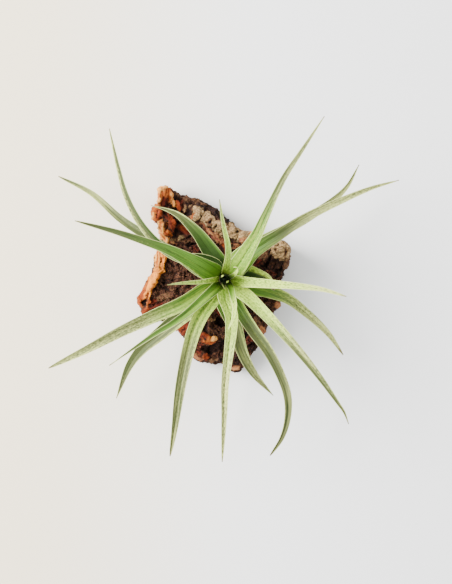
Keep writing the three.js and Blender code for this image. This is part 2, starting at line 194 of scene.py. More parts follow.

# Look of the bark. A noise has its spots in a millimetre, its detail and its roughness.
FINE_NOISE = (1.0, 5, 0.7)
SPECK_NOISE = (1.9, 3, 0.65)
DOT_NOISE = (3.4, 2, 0.6)
PIT_TONES = (0.42, 0.6)
SPECK_EDGE = 0.1
STRING_TONES = (-0.4, 0.4)
STRING_FUZZ = 1.2
DOT_TONES = (0.6, 0.72, 0, 0.5)
HOLLOW_SHADE_TONES = (0.6, 2.0, 0, 0.8)  # painted shade, darker where it lies deep
HOLLOW_SHADE_FUZZ = 1.5
SPECK_BUMP = 0.5  # heights beside that of the fine noise
DOT_BUMP = 0.25


@dataclass
class Leaf:
    """A leaf: its form as in the solid model, and its look.

    line: places along the midrib, each as distance from the stem's axis, bearing and height.
    taper: the blade narrows as this power of what is left of its length.
    bloom: how much its pale scales cover it near the heart, midway and near the tip. Below 0
    the leaf is a deeper green there, partly its own colour and partly painted shade from the
    leaves above.
    sides: how much more its left half has of them than its right half, seen from the heart.
    rim: how much more of them are along its left margin, near the heart and near the tip.
        Below 0 they are along its right margin.
    fresh: distance from the stem's axis at which its bright green has turned dull.
    dry: length of the dried tip.
    """
    name: str
    at: float
    blade: float
    sheath: float
    line: list
    lean: float = 0
    taper: float = 0.5
    bloom: tuple = (0.1, 0.2, 0.25)
    sides: float = 0
    rim: tuple = (0, 0)
    fresh: float = 36
    dry: float = 1.5


LEAVES = [
    Leaf("outer_leaf_1", 106, 9.9, 0, lean=14, taper=1.05, bloom=(-0.85, -0.55, 0),
         sides=0.05, rim=(-0.5, -0.9), line=[
             (8, 111, 27), (16, 118.5, 28), (25.5, 122, 30), (35, 126.3, 31.5),
             (40, 130.2, 32.3), (46, 135.2, 33)]),
    Leaf("outer_leaf_2", 338, 5.4, 3, bloom=(0, 0.45, 0.6), sides=0.12, dry=4, line=[
        (7, 339.5, 26.5), (14, 344, 28), (28, 343, 28.5), (39, 337.5, 27), (51.5, 332.5, 21),
        (63.5, 327.5, 14)]),
    Leaf("outer_leaf_3", 256, 8.2, 0, taper=0.75, bloom=(-0.1, 0, 0.25), sides=0.05,
         rim=(0.3, 0.3), fresh=24, line=[
             (8.5, 260.5, 27), (14.5, 274, 28), (21, 281, 28.5), (33, 283, 26.5),
             (43, 286.5, 22.5), (57, 292.5, 12)]),
    Leaf("outer_leaf_4", 222, 9.2, 0, taper=0.72, bloom=(-0.1, -0.2, -0.2), sides=0.35,
         rim=(0.3, 0.3), fresh=30, line=[
             (7, 226, 27.5), (13, 225, 29), (23, 220.5, 30), (38.5, 220, 29), (47.5, 220, 27),
             (57, 222, 23), (73, 227.5, 14)]),
    Leaf("outer_leaf_5", 168, 4.8, 0, taper=0.45, bloom=(-0.8, -0.25, 0.1), sides=0.1,
         rim=(0.2, 0.2), line=[
             (7, 168, 29), (11.5, 164, 30), (21.5, 154.5, 30.5), (41.5, 151.2, 29.5),
             (54, 149.9, 26), (71, 147.2, 21), (88.9, 148.2, 15)]),
    Leaf("outer_leaf_6", 64, 6.4, 0.8, taper=0.65, bloom=(0.15, 0.2, 0.2), line=[
        (6.5, 65, 29), (11, 61, 30), (19, 49.6, 31), (35, 39.3, 31), (46.5, 36.8, 29.5),
        (59, 36.3, 27), (68, 37.3, 25), (79, 40.6, 22)]),
    Leaf("outer_leaf_7", 118, 4, 3.2, bloom=(-0.75, -0.05, 0.05), sides=1.1, line=[
        (8, 127, 31), (13.5, 141, 33), (21, 152.5, 34.5), (28, 153.5, 35), (35, 151, 36),
        (45.5, 145.7, 36), (56.5, 139.7, 35), (67, 134.1, 32), (84.2, 127.5, 28)]),
    Leaf("outer_leaf_8", 26, 7.2, 0, taper=0.45, bloom=(-0.3, -0.1, 0), sides=2.4, fresh=16,
         line=[
             (7.5, 24, 31), (11.5, 17.5, 33), (14.5, 9, 34), (18.3, 1.5, 34),
             (22.3, 347.5, 33)]),
    Leaf("middle_leaf_1", 292, 5.1, 1.5, taper=0.4, bloom=(-0.2, 0, 0), sides=-0.05,
         rim=(0.6, -0.6), fresh=26, line=[
             (7.5, 291, 32), (13, 294, 35), (25, 298.3, 39.5), (36, 300.7, 41.5),
             (46.5, 300.1, 41), (57, 298.1, 39.5), (66, 294.3, 36), (73.5, 289.9, 32.5),
             (80.5, 284.3, 28.5)]),
    Leaf("middle_leaf_2", 246, 6.9, 1, bloom=(0.4, 0.15, 0.12), rim=(0.2, 0.2), line=[
        (6, 241, 33), (10.5, 237, 36), (20, 236.5, 40), (30, 240.6, 43), (48, 246.8, 44),
        (70.5, 251.6, 39), (81, 252.7, 36)]),
    Leaf("middle_leaf_3", 38, 5.5, 2.8, taper=0.6, bloom=(-0.1, 0.22, 0.4), line=[
        (6.5, 38.5, 34), (12.5, 42.5, 37.5), (17.5, 44, 40), (31, 39.2, 43.5),
        (43, 37.3, 45.5), (60, 34, 47), (74, 31.8, 46), (86, 29.6, 45)]),
    Leaf("middle_leaf_4", 204, 7.1, 0.2, bloom=(0.15, 0.32, 0.35), sides=0.05,
         rim=(0.2, 0.2), fresh=44, line=[
             (9.5, 207, 39), (19, 210, 45), (25, 209.4, 48), (32, 208, 50.5),
             (48.5, 206.9, 55), (65, 207.1, 58), (83, 206.9, 59)]),
    Leaf("middle_leaf_5", 266, 4.7, 2.8, bloom=(0.7, 0.6, 0.5), sides=0.1, fresh=44, line=[
        (8.5, 271, 39), (12.5, 277, 42), (17, 279, 44.5), (23.5, 276, 47.5), (31, 273, 50),
        (44, 270, 53), (58, 269.6, 55), (77.5, 269.1, 54)]),
    Leaf("middle_leaf_6", 322, 5.5, 1.2, taper=0.62, bloom=(0.7, 0.3, 0.15), sides=0.3,
         fresh=44, line=[
             (7.5, 321, 39), (13, 321.8, 43.5), (23.5, 319, 49.5), (34.5, 316.9, 53.5),
             (46.5, 315.3, 56.5), (59, 313.7, 58), (70.5, 312.3, 57.5), (75, 311.8, 57),
             (80.5, 310.4, 55)]),
    Leaf("middle_leaf_7", 152, 4.6, 5.8, bloom=(-0.1, -0.35, -0.45), rim=(0.5, 0.3), fresh=52,
         line=[
             (9, 153.5, 40.5), (15, 152.5, 45), (27, 152.8, 51), (37, 154.9, 54.5),
             (49, 156.6, 57), (67.5, 158.9, 59)]),
    Leaf("middle_leaf_8", 40, 4.2, 4.8, taper=0.58, bloom=(0.3, 0.12, 0.2), sides=-0.2,
         fresh=50, line=[
             (8, 45, 41), (16.5, 51.5, 47.5), (24, 54, 52), (32, 57, 55.5), (48.5, 59.5, 60),
             (61, 59, 62), (79, 58.5, 64)]),
    Leaf("inner_leaf_1", 350, 4.2, 1.2, bloom=(0.85, 1, 0.7), fresh=60, line=[
        (6, 350, 42), (11.5, 352, 48), (21.5, 353.5, 55), (31.5, 354, 61), (41, 353.5, 65.5),
        (50.5, 351.5, 69)]),
    Leaf("inner_leaf_2", 225, 4.4, 1.2, taper=0.8, bloom=(0, -0.15, -0.1), sides=0.4,
         fresh=60, line=[
             (5.5, 224, 43), (11.5, 223, 49), (21.5, 222.3, 56), (30, 220.4, 61),
             (36, 218.6, 64), (47.5, 217.5, 68), (59.4, 217, 71)]),
    Leaf("inner_leaf_3", 176, 2.3, 0.6, bloom=(1.3, 0.8, 1.1), fresh=60, line=[
        (5, 185, 48.5), (10.5, 187.5, 58), (18, 186, 68), (23.5, 186.5, 75)]),
    Leaf("inner_leaf_4", 84, 3, 1.2, bloom=(0.9, 0.15, 0.5), fresh=60, line=[
        (4.5, 83, 50), (10, 82, 61), (15, 86, 68), (23, 92, 76.5), (31.5, 94, 84)]),
    Leaf("inner_leaf_5", 308, 3.3, 0, bloom=(-0.05, 0.2, 0.85), fresh=60, dry=0, line=[
        (5, 302, 48), (8.5, 293.5, 54), (13, 289, 59), (17.5, 281, 61), (21.5, 273.5, 59)]),
    Leaf("inner_leaf_6", 20, 2.2, 0, bloom=(-0.1, 0.1, 2.6), fresh=60, dry=0, line=[
        (3.6, 22, 49), (5.3, 28, 54.5), (6.7, 36, 58), (6.8, 45, 59.5), (6, 53, 59)]),
    Leaf("inner_leaf_7", 250, 2, 0, bloom=(0, 0.1, 0.3), fresh=60, dry=0, line=[
        (2.7, 256, 47), (3.3, 263, 51), (4.2, 268, 55)]),
    Leaf("heart_leaf_1", 136, 1.8, 0, bloom=(-0.6, -0.4, 2), fresh=60, dry=0, line=[
        (1.8, 134, 48), (1.4, 122, 56)]),
    Leaf("heart_leaf_2", 312, 1.8, 0, bloom=(-0.6, -0.4, 2), fresh=60, dry=0, line=[
        (1.8, 312, 49), (1.4, 308, 58)]),
]


@dataclass
class Patch:
    """A stretch of the bark, placed as it is seen in the photograph, in pixels.

    kind: what it shows. at: its middle. half: its half length and half width.
    turn: of its length and its fibres, in degrees anticlockwise from the picture's right.
    lift: how far it stands up, in millimetres.
    """
    kind: str
    at: tuple
    half: tuple
    turn: float = 0
    lift: float = 0


TORN_COLUMN = [
    Patch("torn", (164, 195), (11, 9), 90, 0.5),
    Patch("bright", (158.5, 197), (10, 3.6), 88, 0.3),
    Patch("bright", (162, 189), (6, 3), 0),
    Patch("torn", (168, 192), (5, 2.2), 85),
    Patch("red", (166, 203.5), (6, 4.6), 80, -1.4),
    Patch("bright", (172.3, 200), (9, 1.8), -73, 1),
    Patch("rust", (178, 205.5), (7.5, 2.4), -75, 0.7),
    Patch("torn", (175.5, 203), (5, 0.8), -75, -0.8),
    Patch("hole", (176.3, 198.6), (1.7, 1), 0, -1),
    Patch("torn", (156.5, 213), (8.5, 5.5), 70, 0.9),
    Patch("bright", (154.5, 216), (4.5, 1.4), 70, 0.2),
    Patch("rust", (160, 214), (6, 3), 80, -0.6),
    Patch("red", (157.5, 214.5), (4.5, 0.9), 75, -0.5),
    Patch("hole", (163.5, 211), (2.8, 1.3), -40, -0.5),
    Patch("red", (168, 216), (7, 4), -40, -1.3),
    Patch("rust", (172.5, 223), (10, 3), -78, 0.7),
    # painted shadow, in dark red, under the knob beside it
    Patch("red", (160.8, 219), (3, 1.5), -30, -1),
    Patch("bright", (161.6, 228), (9, 2.8), -80, 0.6),
    Patch("torn", (167, 227.5), (5, 2.2), 75, -1.5),
    Patch("hole", (167.3, 229), (2, 1), 75, -0.5),
    Patch("torn", (168.5, 233.5), (5, 2.4), -30, 0.4),
    Patch("bright", (164, 238), (5.5, 2.6), -50, 0.5),
    Patch("bright", (168, 241), (3.4, 2), 80, 0.4),
]

LEFT_HOLLOW = [
    Patch("hole", (176.5, 228.5), (7, 2), 88, -1.6),
    Patch("hole", (178.5, 222.5), (3.2, 1.5), -20, -1.2),
    Patch("red", (184, 229.5), (7, 4.6), -45, -0.5),
    Patch("rust", (184.5, 229.5), (6, 3), -45, 0.3),
    Patch("tan", (172.5, 239.5), (4, 2.6), -20, 0.3),
    Patch("cork", (181, 237.5), (3.6, 2), 20, 1.1),
    Patch("grit", (187, 235.5), (4, 1.5), 10, 0.5),
    Patch("hole", (190.5, 236.5), (2, 1.5), 0, -0.8),
    Patch("crumb", (185, 241), (8, 1.4), -5, 0.7),
    Patch("salmon", (174.5, 243.3), (4, 1.2), -20, 0.3),
    Patch("hole", (190.5, 244.5), (5.5, 1.8), 10, -1.5),
    Patch("grit", (186, 247.5), (8, 2.2), -25),
    Patch("brick", (196.5, 249.5), (6, 4), -50),
]

TOP_RIDGE = [
    Patch("crumb", (178, 194.3), (6, 1.4), -25, -0.2),
    Patch("red", (182, 204), (6.5, 1.1), 88, -1),
    Patch("crumb", (186.5, 198.8), (4, 3), -20, 1),
    Patch("dark", (186.6, 204), (1.8, 2.6), 0, -0.4),
    Patch("tan", (184.3, 209), (4.2, 1.6), 65, 0.6),
    Patch("hole", (190, 211.5), (6, 3.4), -60, -2.4),
    Patch("hole", (185.5, 214), (4, 1.8), -35, -1.2),
    Patch("tan", (190.3, 205.8), (2.4, 0.9), 20, 0.5),
    Patch("dark", (206, 207.5), (18, 4.4), -28, 0.8),
    Patch("crumb", (198, 202.4), (9, 1.3), -20, 0.7),
    Patch("hole", (206, 211.2), (9, 1.2), -33, -1.3),
    Patch("dark", (217, 214), (5, 4), -45, 0.3),
    Patch("hole", (224, 216.5), (5, 1.7), -60),
    Patch("dark", (229, 222.8), (5, 3.4), -25, 1),
    Patch("hole", (228.5, 222.2), (3.6, 2), -25, -0.9),
]

CORK_RIDGE = [
    Patch("cork", (196.6, 213.6), (7.2, 6), 50, 1.3),
    Patch("cork", (208, 220), (8.5, 6.4), -38, 1.1),
    Patch("cork", (220, 229), (8.5, 7), -42, 1),
    Patch("cork", (235, 233), (11, 7.5), -30, 0.6),
    Patch("cork", (246, 237), (6, 5), 0, 0.8),
    Patch("crumb", (209, 223), (4, 2.4), -30),
    Patch("torn", (193.5, 215.5), (3.2, 1.6), 50, 0.2),
    Patch("hole", (201.8, 215.4), (5.6, 1.1), 58, -2.2),
    Patch("hole", (193.6, 213.2), (3, 0.6), 65, -0.7),
    Patch("hole", (215.6, 227), (3.2, 0.9), 52, -1.2),
    Patch("hole", (209.8, 222.4), (1.1, 0.9), 0, -0.6),
    Patch("hole", (206, 217.4), (0.9, 0.7), 0, -0.5),
    Patch("hole", (215.3, 232.4), (1, 0.9), 0, -0.6),
    Patch("hole", (233.6, 237.3), (0.9, 0.9), 0, -0.5),
    Patch("hole", (237.5, 231), (1.6, 0.7), -60, -0.4),
    Patch("bright", (249.5, 235.5), (4.5, 1.6), 80, 0.3),
    Patch("salmon", (243.5, 240.6), (4, 1.8), 0),
    Patch("salmon", (207, 230.5), (11, 2.2), -46, -0.5),
    Patch("brick", (209, 229.5), (8, 1), -46, -0.3),
    Patch("salmon", (219, 238.5), (7, 4), -50),
    Patch("red", (223, 249), (6, 3), -75, -0.8),
    Patch("torn", (223.5, 244.5), (2, 1.4), 60, 0.3),
    Patch("salmon", (234, 246), (5.5, 3), -10, -0.3),
    Patch("crumb", (232, 246.5), (3, 1.6), -10, -0.3),
    Patch("hole", (233.5, 251), (3, 1.6), 0, -0.8),
]

LEFT_RIM = [
    Patch("grit", (172, 284), (26, 22), 20),
    Patch("dark", (167, 281.5), (5, 3.2), 0, -0.6),
    Patch("dark", (167, 288.5), (5.5, 1.9), 0, -0.5),
    Patch("grit", (178.5, 277), (5, 4), 30, 0.3),
    Patch("crumb", (172.5, 288.6), (3.2, 2.2), 20, 0.7),
    Patch("crumb", (163, 297.5), (9, 4), 20, 0.3),
    Patch("red", (153, 302.3), (4, 3), 20, -0.7),
    Patch("red", (159.5, 304), (3.6, 1.3), 17, -0.2),
    Patch("red", (153, 308), (8, 2.4), 17, 0.5),
    Patch("amber", (160.5, 261), (14, 5.2), 84, 0.6),
    Patch("torn", (154.5, 278.5), (14, 5), 62, 0.6),
    Patch("torn", (145.5, 291.5), (11, 6), 58, 0.4),
    Patch("bright", (157.5, 260), (12, 3.1), 86, 0.3),
    Patch("amber", (163.8, 262.5), (11, 1.8), 77, 0.5),
    Patch("rust", (160.9, 263), (7, 0.7), 80, -0.8),
    Patch("amber", (154.5, 278.5), (14, 4.2), 62, 0.4),
    Patch("amber", (156.8, 277), (9, 1.6), 66, 0.4),
    Patch("amber", (147, 293), (9, 1.8), 62, 0.4),
    Patch("torn", (141.5, 295), (6, 2.4), 56, -0.2),
    Patch("rust", (148.8, 294), (5.5, 0.7), 68, -0.7),
    Patch("amber", (150.6, 292), (9, 1.2), 75, 0.4),
    Patch("torn", (148, 303.5), (7, 1.5), 72, 0.6),
    Patch("torn", (139, 302), (6, 3), -72, 0.2),
    Patch("hole", (143.8, 302.6), (3.8, 2), 62, -2),
    Patch("rust", (146, 310), (5, 3), 32, 0.5),
]

FRONT = [
    Patch("grit", (212, 330), (17, 26), 0),
    Patch("tan", (211.5, 320), (3.6, 2.2), 20, 0.5),
    Patch("red", (218, 312.5), (4, 2), -60),
    Patch("hole", (220.3, 322.3), (6, 3.4), -30, -3),
    Patch("dark", (206, 326), (5, 2.4), 60, -0.7),
    Patch("rust", (204.5, 336), (6, 3.4), -15, 0.3),
    Patch("red", (204, 337.2), (4.5, 1.2), -15, -0.4),
    Patch("torn", (209, 340), (8.5, 3.4), 6, 1.2),
    Patch("bright", (213, 338.4), (2.4, 1), 6, 0.2),
    Patch("dark", (205, 338), (2.2, 0.8), -10, -0.4),
    Patch("brick", (200.5, 346.5), (4.5, 2.8), -30, -0.4),
    Patch("dark", (213, 348.5), (12, 4.2), 5, -1.2),
    Patch("hole", (222, 343.5), (3.5, 3.2), 0, -1.2),
    Patch("hole", (210, 353), (2.6, 2.8), 0, -1),
    Patch("red", (198, 352), (4, 2.4), -20, -0.5),
    Patch("salmon", (198.5, 358), (6, 3), -28, 0.9),
    Patch("red", (199.5, 356.5), (3, 1), -28, 0.2),
    Patch("rust", (206, 357.5), (3.6, 4), 0, 0.9),
    Patch("crumb", (214.5, 361), (7, 3), 8, 0.5),
    Patch("dark", (221.5, 360), (3.4, 5), 0, 0.3),
    Patch("rust", (182, 329), (8, 6), 55, 0.7),
    Patch("red", (184, 330), (4, 1.6), 55, -0.3),
    Patch("dark", (238, 358), (6, 7), 0, -0.4),
    Patch("dark", (239, 364), (5.5, 4), 20, -0.4),
    Patch("salmon", (235, 369), (5, 2.2), 5, 0.5),
    Patch("crumb", (241.8, 329), (5, 2.4), -65, 0.4),
    Patch("hole", (246.4, 335), (4.4, 2), 62, -1.2),
    Patch("brick", (249.5, 341), (5.5, 4), 40, 0.5),
    Patch("dark", (252.5, 348), (6, 4.8), 40, -0.3),
    Patch("crumb", (250, 357), (3.2, 1.4), 80, 0.5),
]

RIGHT = [
    Patch("grit", (252, 314), (7, 4), -45, -0.4),
    Patch("dark", (249, 311), (4, 2), -45, -0.4),
    Patch("crumb", (258.5, 322.5), (5, 3), -50, 0.2),
    Patch("salmon", (263, 330), (5, 3), -60, 0.4),
    Patch("grit", (268, 301), (8, 5), -30),
    Patch("salmon", (277.5, 305), (4, 2.4), 75, 0.3),
    Patch("cork", (280, 250), (14, 10), -35, 0.5),
    Patch("crumb", (263.5, 256.5), (5.5, 3.4), 40, 0.3),
    Patch("hole", (268.3, 251.5), (2.4, 1.1), 60, -0.8),
    Patch("crumb", (275, 249.8), (1.8, 1.1), -20, -0.5),
    Patch("crumb", (285.2, 254.5), (7.5, 1), 82, -0.7),
    Patch("dark", (274, 267), (11, 7), 20, -0.7),
    Patch("grit", (276, 265.5), (6, 3.4), 0, -0.3),
    Patch("hole", (268.3, 262.5), (5.5, 1.8), 75, -1.4),
    Patch("hole", (265, 265.8), (3.6, 1.4), 0, -1.2),
    Patch("red", (258.5, 263.5), (5.5, 2.4), 30, -0.5),
    Patch("brick", (271, 272.5), (5.5, 2), -20, 0.3),
    Patch("hole", (279, 273), (5.5, 2.8), 60, -1.4),
    Patch("crumb", (287.5, 262.5), (7.5, 3), 75, 0.8),
]

PATCHES = [*LEFT_RIM, *LEFT_HOLLOW, *TORN_COLUMN, *TOP_RIDGE, *CORK_RIDGE, *FRONT, *RIGHT]

# Colours, as red, green and blue from 0 to 255 on a screen
# painted shade in the heart among the leaf bases, also on the stem among the leaves
HEART_SHADE = (14, 26, 4)
HEART_GREEN = (68, 102, 16)
FRESH_GREEN = (84, 122, 40)
DULL_GREEN = (78, 84, 49)
DEEP_GREEN = (36, 56, 18)
TIP_OLIVE = (52, 52, 28)
SCALE_YELLOW = (172, 198, 72)
SCALE_PALE = (183, 188, 113)
MARGIN_PALE = (200, 206, 136)
DRY_TIP = (104, 92, 64)
STEM_BROWN = (70, 52, 30)
BARK_BROWN = (68, 36, 22)
BARK_DARK = (32, 16, 10)
BARK_RED = (90, 30, 14)
BARK_PINK = (132, 74, 54)
BARK_SPECK = (104, 68, 44)
DEEP_RED = (48, 11, 5)
RUST = (124, 50, 16)
SALMON = (160, 108, 66)
TORN_ORANGE = (162, 84, 26)
TORN_AMBER = (228, 142, 50)
TORN_YELLOW = (232, 164, 84)
CORK_TAN = (148, 114, 74)
CORK_PALE = (188, 156, 110)
CORK_GREY = (102, 80, 54)
# painted shade that fills the holes, and the pits of the dark patches
HOLE_SHADE_BLACK = (8, 5, 4)
# painted warm light on the left of the floor
FLOOR_WARM_LIGHT = (231, 218, 190)
FLOOR_PLAIN = (232, 232, 232)


def rise(low, high, x):
    """0 below low, 1 above high, and a smooth rise between them."""
    t = np.clip((np.asarray(x, float) - low) / (high - low), 0, 1)
    return t * t * (3 - 2 * t)


def lerp(a, b, t):
    """The share t of the way from a to b."""
    return a + (b - a) * t


def towards(bearing):
    """Level unit vector at a bearing."""
    angle = math.radians(bearing)
    return np.array([math.cos(angle), math.sin(angle), 0.0])


def unit(vectors):
    """The vectors at length 1."""
    return vectors / np.linalg.norm(vectors, axis=-1, keepdims=True)


# Mesh making

def add_mesh(name, places, faces, attributes=None):
    """A smooth mesh object from places in millimetres, with a number for each place."""
    mesh = bpy.data.meshes.new(name)
    mesh.from_pydata((np.asarray(places) * M).tolist(), [], faces)
    for key, values in (attributes or {}).items():
        layer = mesh.attributes.new(key, "FLOAT", "POINT")
        layer.data.foreach_set("value", np.asarray(values, np.float32).ravel())
    mesh.polygons.foreach_set("use_smooth", [True] * len(mesh.polygons))
    mesh.update()
    piece = bpy.data.objects.new(name, mesh)
    bpy.context.scene.collection.objects.link(piece)
    return piece


def skin_faces(rings, count):
    """Faces between rings of count places, each ring closed on itself."""
    i, j = np.meshgrid(np.arange(rings - 1), np.arange(count), indexing="ij")
    a, b = i * count + j, i * count + (j + 1) % count
    return np.stack([a, a + count, b + count, b], axis=-1).reshape(-1, 4)


def stand_for(piece, node, material):
    """The piece takes the place of a node of the model."""
    piece.data.materials.append(material)
    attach(piece, BODY)
    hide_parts(node)


# Leaves

def seat_leaves():
    """Height at which each leaf leaves the stem: as low as those that it lies over allow."""
    seats = {}
    for leaf in LEAVES:
        under = [seats[other.name] + SEAT_PITCH for other in LEAVES
                 if other.name in seats and
                 abs((leaf.at - other.at + 540) % 360 - 180) < CLASP_ANGLE]
        seats[leaf.name] = max([LOWEST_LEAF, *under])
    return seats


SEATS = seat_leaves()
STEM_TOP = max(SEATS.values()) + STEM_RISE


def stem_radius(height):
    """Radius of the stem above its foot."""
    return lerp(STEM_RADIUS, STEM_TIP_RADIUS, rise(STEM_TOP - STEM_TIP_LENGTH, STEM_TOP, height))


def smooth_line(points, steps=60):
    """Many places along the centripetal Catmull-Rom curve through the points."""
    points = np.array([2 * points[0] - points[1], *points, 2 * points[-1] - points[-2]])
    line = []
    for p0, p1, p2, p3 in zip(points, points[1:], points[2:], points[3:]):
        d0, d1, d2 = (math.sqrt(np.linalg.norm(b - a)) for a, b in ((p0, p1), (p1, p2), (p2, p3)))
        t1 = ((p1 - p0) / d0 - (p2 - p0) / (d0 + d1) + (p2 - p1) / d1) * d1
        t2 = ((p2 - p1) / d1 - (p3 - p1) / (d1 + d2) + (p3 - p2) / d2) * d1
        t = np.linspace(0, 1, steps, endpoint=False)[:, None]
        line.append(p1 + t1 * t + (3 * (p2 - p1) - 2 * t1 - t2) * t**2
                    + (2 * (p1 - p2) + t1 + t2) * t**3)
    return np.concatenate([*line, points[-2:-1]])


def midrib(leaf):
    """Evenly spaced places along a leaf's midrib, its directions there, and its length."""
    seat = SEATS[leaf.name]
    distance, _, height = leaf.line[0]
    surface = stem_radius(seat) + STEM_GAP
    steepness = math.atan2(height - seat, distance - surface)
    start = surface + SOLID_THICKNESS / 2 * math.sin(steepness)
    stations = [(start, leaf.at, seat), *leaf.line]
    line = smooth_line([towards(b) * d + np.array([0, 0, h]) for d, b, h in stations])
    walked = np.concatenate([[0], np.cumsum(np.linalg.norm(np.diff(line, axis=0), axis=1))])
    length = walked[-1]
    even = np.linspace(0, length, max(LEAST_RINGS, round(length / RING_PITCH)) + 1)
    centre = np.stack([np.interp(even, walked, line[:, k]) for k in range(3)], axis=1)
    return centre, unit(np.gradient(centre, axis=0)), length


def leaf_width(leaf, s):
    """Width of a leaf at the share s of its length."""
    blade = leaf.blade * (1 - s) ** leaf.taper
    sheath = leaf.sheath * np.exp(-((s / SHEATH_LENGTH) ** 2))
    width = (blade + sheath) * lerp(ROOT_WIDTH, 1, rise(0, ROOT_LENGTH, s))
    reach = MARGIN_REACH * rise(*REACH_STARTS, s) * (1 - rise(*REACH_ENDS, s))
    return np.maximum(TIP_WIDTH, width + reach)


def carried_side(leaf, along):
    """The direction across the blade, carried along the midrib without twisting."""
    side = np.cross([0, 0, 1], towards(leaf.at))
    sides = []
    for direction in along:
        side = unit(side - direction * side.dot(direction))
        sides.append(side)
    return np.array(sides)


def wobble(seed, places, pitch):
    """A smooth random line, between about -1 and 1."""
    return np.array([noise.noise(Vector((seed, x / pitch, 0.5))) for x in places]) * 2


# In the next five, s is the share of the length, as a column for the sections of a leaf, and u
# goes from -1 at the right margin to 1 at the left one, as a row.

def margin_waves(number, s, length, width, u):
    """How far the margins of a leaf rise and fall."""
    right, left = (wobble(number * WAVE_SEED_STEP + k, s[:, 0] * length, WAVE_PITCH)[:, None]
                   for k in (0, 1))
    wave = np.where(u < 0, right, left) * u**4 * MARGIN_WAVE
    return wave * (width / WAVE_WIDTH) * rise(*WAVE_STARTS, s)


def blade_fold(distance, width, u):
    """How far the halves of a blade stand up, less the groove along its midrib."""
    fold = math.tan(math.radians(FOLD_ANGLE)) * rise(FOLD_FROM, FOLD_FULL, distance)
    groove = GROOVE_DEPTH * np.exp(-((u / GROOVE_WIDTH) ** 2))
    return (fold * np.abs(u) ** FOLD_ROUNDING / 2 - groove) * width


def half_thickness(s, u):
    half = lerp(BLADE_THICKNESS, MARGIN_THICKNESS, np.abs(u) ** MARGIN_THINNING) / 2
    return half * lerp(1, TIP_THINNING, rise(*TIP_THINNING_SPAN, s))


def leaf_bloom(leaf, s, u):
    """How much of the pale scales there are at each place."""
    bloom = np.interp(s, BLOOM_STATIONS, leaf.bloom)
    bloom = bloom + leaf.sides / 2 * np.tanh(SIDES_SHARPNESS * u)
    rim = np.interp(s, RIM_STATIONS, leaf.rim)
    return bloom + np.abs(rim) * rise(*RIM_SPAN, u * np.sign(rim))


def leaf_piece(leaf, number, material):
    """A leaf's blade: sections across its midrib, each over its upper side and back below."""
    centre, along, length = midrib(leaf)
    s = np.linspace(0, 1, len(centre))[:, None]
    distance = np.hypot(centre[:, 0], centre[:, 1])[:, None]
    width = leaf_width(leaf, s)
    spread = np.linspace(-1, 1, 2 * HALF_STEPS + 1)
    u = np.concatenate([spread, spread[::-1]])[None, :]
    under = np.repeat([0, 1], len(spread))[None, :]

    side = carried_side(leaf, along)
    lean = np.radians(leaf.lean * rise(*LEAN_SPAN, s))
    across = side * np.cos(lean) + np.cross(along, side) * np.sin(lean)
    outward = unit(centre * [1, 1, 0])
    upward = np.cross(along, across)
    wrap = u * width / 2 / distance
    clasp = 1 - rise(CLASP_TO / 2, CLASP_TO, distance)
    raised = (blade_fold(distance, width, u) + margin_waves(number, s, length, width, u)
              + (1 - 2 * under) * half_thickness(s, u))
    places = (centre[:, None] + across[:, None] * (distance * np.sin(wrap))[..., None]
              + outward[:, None] * (distance * (np.cos(wrap) - 1) * clasp)[..., None]
              + upward[:, None] * raised[..., None])

    looks = {
        "beside": u * width / 2,
        "edge": (1 - np.abs(u)) * width / 2,
        "along": s * length,
        "to_tip": (1 - s) * length,
        "under": under,
        "axis_distance": distance,
        "bloom": leaf_bloom(leaf, s, u),
        "fresh": leaf.fresh,
        "dry": leaf.dry,
        "number": number,
    }
    rings, count = places.shape[:2]
    looks = {key: np.broadcast_to(values, (rings, count)) for key, values in looks.items()}
    piece = add_mesh(f"{leaf.name}_blade", places.reshape(-1, 3), blade_faces(rings, count), looks)
    stand_for(piece, leaf.name, material)


def blade_faces(rings, count):
    """Faces of a closed blade: its skin, and a strip of faces over each end."""
    j = np.arange(count // 2 - 1)
    root = np.stack([j, j + 1, count - 2 - j, count - 1 - j], axis=1)
    tip = root[:, ::-1] + (rings - 1) * count
    return np.concatenate([skin_faces(rings, count), root, tip]).tolist()


# Stem

def stem_profile():
    """Radius and height of the stem's outline, from the middle of its foot to its top."""
    foot = SEAT_HEIGHT + STEM_GAP
    heights = np.linspace(LOWEST_LEAF - 1, STEM_TOP, STEM_SECTIONS)
    corners = [(POLE_RADIUS, foot), (STEM_FOOT_RADIUS, foot),
               (STEM_FOOT_RADIUS, foot + STEM_FOOT_HEIGHT),
               (STEM_SHOULDER_RADIUS, foot + 2 * STEM_FOOT_HEIGHT)]
    sides = [(float(stem_radius(height)), height) for height in heights]
    line = np.array([*corners, *sides, (POLE_RADIUS, STEM_TOP + STEM_TIP_RADIUS)])
    walked = np.concatenate([[0], np.cumsum(np.hypot(*np.diff(line, axis=0).T))])
    even = np.linspace(0, walked[-1], STEM_SECTIONS * 2)
    return np.interp(even, walked, line[:, 0]), np.interp(even, walked, line[:, 1])


